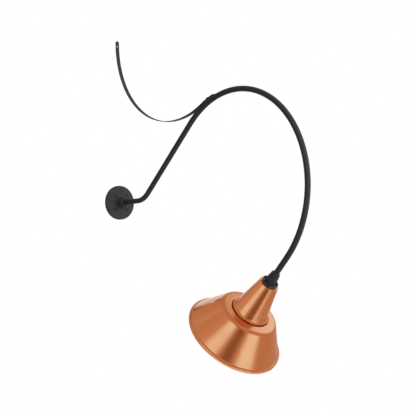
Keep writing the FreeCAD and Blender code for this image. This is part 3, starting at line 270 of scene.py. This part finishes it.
finishes = {
    "powder_coat_black": powderCoat(),
    "cast_black": castPaint(),
    "satin_copper": spunCopper("spunCopperShade", True),
    # smooth sprayed lacquer: deep black with clear reflections
    "gloss_black": plainFinish("blackLacquer", "17171A", 0.18, 15.0, 0.01, Coat_Weight=0.5),
    # black oxide on small screws, left slightly oily
    "blackened_steel": plainFinish("blackOxideSteel", "1F1F20", 0.38, 0.6, 0.01, Metallic=0.6),
    # zinc plating: pale grey metal, faintly clouded
    "zinc_steel": plainFinish("zincPlatedSteel", "B9BBBD", 0.32, 2.0, 0.01, Metallic=1.0),
    # copper-coloured enamel on the steel spacer, seen in the gap under the neck
    "spacer_steel": plainFinish("copperEnamel", "B0562C", 0.35, 1.0, 0.01, Metallic=0.8),
    # stamped brass, bright and yellow
    "brass_contact": plainFinish("stampedBrass", "C9A24B", 0.28, 1.0, 0.005, Metallic=1.0),
    # rolled nickel-plated sheet, nearly mirror-bright
    "nickel_cap": plainFinish("nickelPlate", "C9CBCC", 0.22, 1.5, 0.005, Metallic=1.0),
    # moulded phenolic, black with a soft shine
    "black_resin": plainFinish("blackPhenolic", "1E1C1B", 0.35, 1.2, 0.01),
    # glazed porcelain: white, wet-looking
    "white_ceramic": plainFinish("glazedPorcelain", "ECEAE4", 0.15, 4.0, 0.01),
    # moulded nylon: milky and dull
    "terminal_white": plainFinish("mouldedNylon", "E6E4DC", 0.45, 1.0, 0.01),
    # moulded rubber: flat black
    "gasket_rubber": plainFinish("blackRubber", "1A1A1A", 0.75, 0.8, 0.02),
    # extruded rubber sheath, dull with a slight drag grain
    "cable_jacket": plainFinish("rubberSheath", "1D1D1D", 0.5, 1.0, 0.01),
    # extruded vinyl insulation, brown and slightly shiny
    "core_jacket": plainFinish("brownVinyl", "6B4A2A", 0.35, 1.0, 0.005),
    # blown clear glass: sharp reflections, no colour
    "bulb_glass": newMaterial("blownGlass", "F6F4EE", 0.02, Transmission_Weight=1.0, IOR=1.5)[0],
    # drawn tungsten, dark grey and fine
    "filament_wire": plainFinish("drawnTungsten", "8A8A8A", 0.4, 0.3, 0.002, Metallic=1.0),
}


def dress(item, material):
    item.data.materials.clear()
    item.data.materials.append(material)


for part in frame["record"]["subparts"]:
    dress(nodes[part["node"]], finishes[part["material_slot"]])
dress(nodes["neck"], spunCopper("spunCopperNeck", False))
print("finishes:", len(finishes), "on", len(nodes), "nodes")


def addPiece(name, form, body, slot, replaced):
    # the form goes into the scene with its place in its mesh, and rides on its body
    bmesh.ops.remove_doubles(form, verts=form.verts[:], dist=0.00001)
    bmesh.ops.recalc_face_normals(form, faces=form.faces[:])
    mesh = bpy.data.meshes.new(name)
    form.to_mesh(mesh)
    form.free()
    for face in mesh.polygons:
        face.use_smooth = True
    mesh.set_sharp_from_angle(angle=math.radians(35))
    item = bpy.data.objects.new(name, mesh)
    bpy.context.scene.collection.objects.link(item)
    dress(item, finishes[slot])
    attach(item, body)
    if replaced:
        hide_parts(replaced)
    return item


# Cap screw that holds the stay's end on the arm: a tall head with a hexagon socket.
stayScrew = {
    "seat": Vector((548.87, 0.0, 341.54)), "leanDegrees": -22.31, "headRadius": 4.75, "headHeight": 5.4,
    "washerRadius": 5.6, "washerHeight": 0.9, "shankRadius": 2.45, "shankLength": 7.6,
    "socketFlats": 4.0, "socketDepth": 2.6, "edge": 0.6, "rounds": 3, "sides": 48,
}


def makeStayScrew():
    size = stayScrew
    form = bmesh.new()
    lower = -size["shankLength"]
    outline = [
        (0.0, lower), (size["shankRadius"], lower), (size["shankRadius"], 0.0), (size["washerRadius"], 0.0),
        (size["washerRadius"], size["washerHeight"]), (size["headRadius"], size["washerHeight"]),
        (size["headRadius"], size["headHeight"]), (0.0, size["headHeight"]),
    ]
    corners = [form.verts.new((x, 0.0, z)) for x, z in outline]
    edges = [form.edges.new(pair) for pair in zip(corners, corners[1:])]
    bmesh.ops.spin(
        form, geom=corners + edges, cent=(0, 0, 0), axis=(0, 0, 1), angle=math.tau, steps=size["sides"],
        use_merge=True)
    bmesh.ops.remove_doubles(form, verts=form.verts[:], dist=0.0001)
    atTop = {v for v in form.verts if abs(v.co.z - size["headHeight"]) < 0.001 and v.co.xy.length > 1}
    rim = [e for e in form.edges if all(v in atTop for v in e.verts)]
    bmesh.ops.bevel(
        form, geom=rim, offset=size["edge"], segments=size["rounds"], profile=0.5, affect="EDGES",
        material=-1)
    top = [v for v in form.verts if v.co.xy.length < 0.001 and v.co.z > 0]
    bmesh.ops.dissolve_verts(form, verts=top)
    level = [f for f in form.faces if abs(f.normal.z) > 0.9]
    lid = max(level, key=lambda f: (len(f.verts), f.calc_center_median().z))
    socket = size["socketFlats"] / 2
    inset = lid.verts[0].co.xy.length - socket
    bmesh.ops.inset_region(form, faces=[lid], thickness=inset, use_even_offset=False)
    for v in lid.verts:     # the round inset is drawn in to a hexagon
        way = math.atan2(v.co.y, v.co.x) % (math.pi / 3) - math.pi / 6
        v.co.xy = v.co.xy.normalized() * socket / math.cos(way)
    floorOf = bmesh.ops.extrude_discrete_faces(form, faces=[lid])["faces"][0]
    bmesh.ops.translate(form, verts=floorOf.verts[:], vec=(0, 0, -size["socketDepth"]))
    lean = Matrix.Rotation(math.radians(size["leanDegrees"]), 4, "Y")
    placed = Matrix.Translation(size["seat"] * mm) @ lean
    bmesh.ops.transform(form, matrix=placed @ Matrix.Diagonal((mm, mm, mm, 1)), verts=form.verts[:])
    return addPiece("stayCapScrew", form, "wall_arm", "blackened_steel", "stay_screw")


makeStayScrew()
print("stay screw made")


# Filament: two lead wires up from the stem and a coiled wire in an arch between them.
filament = {
    "foot": Vector((779.05, 0.0, -388.07)), "leadSpread": 3.35, "rise": 19.6, "reach": 10.6,
    "crownReach": 5.0, "crownRise": 28.6, "coilRadius": 0.315, "wireRadius": 0.11, "leadRadius": 0.22,
    "turns": 46, "stepsPerTurn": 10, "turnDegrees": -135.0,
}


def makeFilament():
    size = filament
    side, crown = size["rise"], size["crownRise"]
    corners = [
        Vector((-size["reach"], 0, side)), Vector((-size["crownReach"], 0, crown)),
        Vector((size["crownReach"], 0, crown)), Vector((size["reach"], 0, side)),
    ]
    runs = [(a, b, (b - a).length) for a, b in zip(corners, corners[1:])]
    total = sum(run[2] for run in runs)
    coil = []
    for step in range(size["turns"] * size["stepsPerTurn"] + 1):
        at = total * step / (size["turns"] * size["stepsPerTurn"])
        for start, end, length in runs:
            if at <= length + 1e-6:
                break
            at -= length
        along = (end - start).normalized()
        spun = math.tau * step / size["stepsPerTurn"]
        outward = Vector((along.z, 0, -along.x)) * math.cos(spun) + Vector((0, 1, 0)) * math.sin(spun)
        coil.append(start + along * min(at, length) + outward * size["coilRadius"])
    leads = [
        [Vector((way * size["leadSpread"], 0, 0)), Vector((way * size["reach"], 0, side))] for way in (-1, 1)]
    turned = Matrix.Rotation(math.radians(size["turnDegrees"]), 4, "Y")
    placed = Matrix.Translation(size["foot"] * mm) @ turned
    form = bmesh.new()
    for points, radius in [(coil, size["wireRadius"])] + [(lead, size["leadRadius"]) for lead in leads]:
        curve = bpy.data.curves.new("filamentLine", "CURVE")
        curve.dimensions = "3D"
        curve.bevel_depth, curve.bevel_resolution, curve.use_fill_caps = radius, 1, True
        spline = curve.splines.new("POLY")
        spline.points.add(len(points) - 1)
        for point, corner in zip(spline.points, points):
            point.co = tuple(corner) + (1.0,)
        line = bpy.data.objects.new("filamentLine", curve)
        form.from_mesh(bpy.data.meshes.new_from_object(line))
        bpy.data.objects.remove(line)
    bmesh.ops.transform(form, matrix=placed @ Matrix.Diagonal((mm, mm, mm, 1)), verts=form.verts[:])
    return addPiece("filamentCoil", form, "bulb", "filament_wire", "filament")


makeFilament()
print("filament made")


# Studio: a pale floor disc, and a round tent of soft boxes that shows in every reflection, the black
# paint's included, and nowhere else. Its patches were placed so that the copper's bands fall as
# in the photograph. Directions are azimuth and elevation in degrees from the shade; a patch is (azimuth,
# elevation, core, edge, amount).
tentLook = {
    "center": Vector((0.74, 0.0, -0.43)), "radius": 3.6,
    "base": 0.36, "gain": 0.66, "shade": 0.36, "strength": 1.3,
    "bright": [
        (4, -20, 8, 26, 1.0), (8, -34, 8, 24, 0.5), (-8, -54, 6, 16, 0.6),
        (-62, 14, 6, 20, 0.95), (-78, 6, 6, 22, 0.85), (-94, -8, 8, 26, 0.85), (-115, 30, 10, 40, 0.2),
        (78, 38, 10, 32, 0.85), (150, 10, 10, 40, 0.6),
    ],
    "dark": [
        (-33, 6, 4, 16, 0.9), (-36, -8, 5, 16, 1.0), (-44, -22, 5, 16, 1.0), (-52, -38, 8, 20, 1.0),
        (-46, -47, 9, 20, 1.0), (-104, 43, 4, 20, 0.25),
    ],
    "tones": [
        (0.0, (0.20, 0.10, 0.06, 1)), (0.36, (0.42, 0.27, 0.20, 1)), (0.6, (0.55, 0.43, 0.35, 1)),
        (0.85, (0.67, 0.73, 0.78, 1)), (1.0, (0.73, 0.90, 1.0, 1)),
    ],
}
floorDisc = {"center": (0.3, 0.0, -1.0), "radius": 0.8, "color": "F4F4F4"}


def wayTo(azimuth, elevation):
    az, el = math.radians(azimuth), math.radians(elevation)
    return Vector((math.cos(el) * math.cos(az), math.cos(el) * math.sin(az), math.sin(el)))


def softPatches(tree, direction, patches):
    strongest = None
    for azimuth, elevation, core, edge, amount in patches:
        near = addNode(
            tree, "ShaderNodeVectorMath", {
                0: direction, 1: wayTo(azimuth, elevation)
            }, operation="DOT_PRODUCT")
        fade = addNode(tree, "ShaderNodeMapRange", {
            "Value": near.outputs["Value"], "From Min": math.cos(math.radians(edge)),
            "From Max": math.cos(math.radians(core)), "To Max": amount},
            interpolation_type="SMOOTHERSTEP").outputs["Result"]
        if strongest is None:
            strongest = fade
        else:
            strongest = addNode(
                tree, "ShaderNodeMath", {0: strongest, 1: fade}, operation="MAXIMUM").outputs["Value"]
    return strongest


def tentCloth():
    look = tentLook
    material = bpy.data.materials.new("softboxCloth")
    material.use_nodes = True
    tree = material.node_tree
    tree.nodes.clear()
    place = addNode(tree, "ShaderNodeTexCoord").outputs["Object"]
    moved = addNode(tree, "ShaderNodeVectorMath", {0: place, 1: look["center"]}, operation="SUBTRACT")
    direction = addNode(
        tree, "ShaderNodeVectorMath", {0: moved.outputs["Vector"]}, operation="NORMALIZE").outputs["Vector"]
    bright = softPatches(tree, direction, look["bright"])
    dark = softPatches(tree, direction, look["dark"])
    lit = addNode(
        tree, "ShaderNodeMath", {0: bright, 1: look["gain"], 2: look["base"]}, operation="MULTIPLY_ADD")
    level = addNode(
        tree, "ShaderNodeMath", {
            0: dark, 1: -look["shade"], 2: lit.outputs["Value"]
        }, operation="MULTIPLY_ADD")
    ramp = addNode(tree, "ShaderNodeValToRGB", {"Fac": level.outputs["Value"]})
    stops = ramp.color_ramp.elements
    stops[0].position, stops[0].color = look["tones"][0]
    stops[1].position, stops[1].color = look["tones"][-1]
    for position, color in look["tones"][1:-1]:
        stops.new(position).color = color
    glow = addNode(
        tree, "ShaderNodeEmission", {"Color": ramp.outputs["Color"], "Strength": look["strength"]})
    addNode(tree, "ShaderNodeOutputMaterial", {"Surface": glow.outputs["Emission"]})
    return material


def addStage(name, form, material):
    mesh = bpy.data.meshes.new(name)
    form.to_mesh(mesh)
    form.free()
    mesh.materials.append(material)
    item = bpy.data.objects.new(name, mesh)
    bpy.context.scene.collection.objects.link(item)
    return item


tentForm = bmesh.new()
bmesh.ops.create_uvsphere(tentForm, u_segments=64, v_segments=32, radius=tentLook["radius"])
bmesh.ops.translate(tentForm, verts=tentForm.verts[:], vec=tentLook["center"])
tent = addStage("softboxTent", tentForm, tentCloth())
tent.visible_camera = False
tent.visible_diffuse = False
tent.visible_shadow = False
tent.visible_transmission = False
tent.visible_volume_scatter = False

floorForm = bmesh.new()
bmesh.ops.create_circle(floorForm, cap_ends=True, segments=96, radius=floorDisc["radius"])
bmesh.ops.translate(floorForm, verts=floorForm.verts[:], vec=floorDisc["center"])
addStage("studioFloor", floorForm, newMaterial("paleFloorPaint", floorDisc["color"], 0.7)[0])

# soft area lamps, which reflections don't show; those show the tent instead
lamps = {
    "keyFront": ((3.4, 0.6, 0.4), (0.2, 0.0, 0.0), 1.6, 1.8, 125),
    "fillLeft": ((1.64, -2.39, 0.75), (0.74, 0.0, -0.43), 1.0, 1.8, 8),
    "overhead": ((0.5, -0.3, 2.6), (0.5, 0.0, 0.0), 2.4, 2.4, 30),
}
for name, (place, target, width, height, power) in lamps.items():
    light = bpy.data.lights.new(name, "AREA")
    light.shape = "RECTANGLE"
    light.size, light.size_y, light.energy = width, height, power
    lamp = bpy.data.objects.new(name, light)
    aim = (Vector(place) - Vector(target)).to_track_quat("Z", "Y").to_matrix().to_4x4()
    lamp.matrix_world = Matrix.Translation(place) @ aim
    lamp.visible_glossy = False
    bpy.context.scene.collection.objects.link(lamp)

# the world is white to the camera and through glass, and dim as a light
worldLight = {"dim": 0.22, "white": 1.0}
world = bpy.data.worlds.new("studioWorld")
bpy.context.scene.world = world
world.use_nodes = True
sky = world.node_tree
sky.nodes.clear()
rays = addNode(sky, "ShaderNodeLightPath").outputs
seen = addNode(
    sky, "ShaderNodeMath", {0: rays["Is Camera Ray"], 1: rays["Is Glossy Ray"]}, operation="MAXIMUM")
seen = addNode(
    sky, "ShaderNodeMath", {0: seen.outputs["Value"], 1: rays["Is Transmission Ray"]}, operation="MAXIMUM")
dim = addNode(sky, "ShaderNodeBackground", {"Color": (1, 1, 1, 1), "Strength": worldLight["dim"]})
white = addNode(sky, "ShaderNodeBackground", {"Color": (1, 1, 1, 1), "Strength": worldLight["white"]})
choice = addNode(sky, "ShaderNodeMixShader", {
    0: seen.outputs["Value"], 1: dim.outputs["Background"], 2: white.outputs["Background"]})
addNode(sky, "ShaderNodeOutputWorld", {"Surface": choice.outputs["Shader"]})
print("studio made")

# camera solved from the photograph's outlines; angles in radians, the view runs mostly along -X and +Y
cameraFit = {
    "place": (3.2470, -2.3539, -0.2648), "yaw": 0.7160, "pitch": 0.0595, "roll": -0.0170,
    "lens": 86.755, "sensor": 36.0,
}
yaw, pitch, roll = cameraFit["yaw"], cameraFit["pitch"], cameraFit["roll"]
forward = Vector((-math.cos(yaw) * math.cos(pitch), math.sin(yaw) * math.cos(pitch), math.sin(pitch)))
levelRight = Vector((math.sin(yaw), math.cos(yaw), 0))
levelUp = levelRight.cross(forward)
right = math.cos(roll) * levelRight + math.sin(roll) * levelUp
up = math.cos(roll) * levelUp - math.sin(roll) * levelRight
cameraData = bpy.data.cameras.new("photoCamera")
cameraData.sensor_width = cameraFit["sensor"]
cameraData.lens = cameraFit["lens"]
camera = bpy.data.objects.new("photoCamera", cameraData)
facing = Matrix((right, up, -forward)).transposed().to_4x4()
camera.matrix_world = Matrix.Translation(cameraFit["place"]) @ facing
bpy.context.scene.collection.objects.link(camera)
bpy.context.scene.camera = camera
bpy.context.scene.view_settings.view_transform = "Standard"
print("camera set")
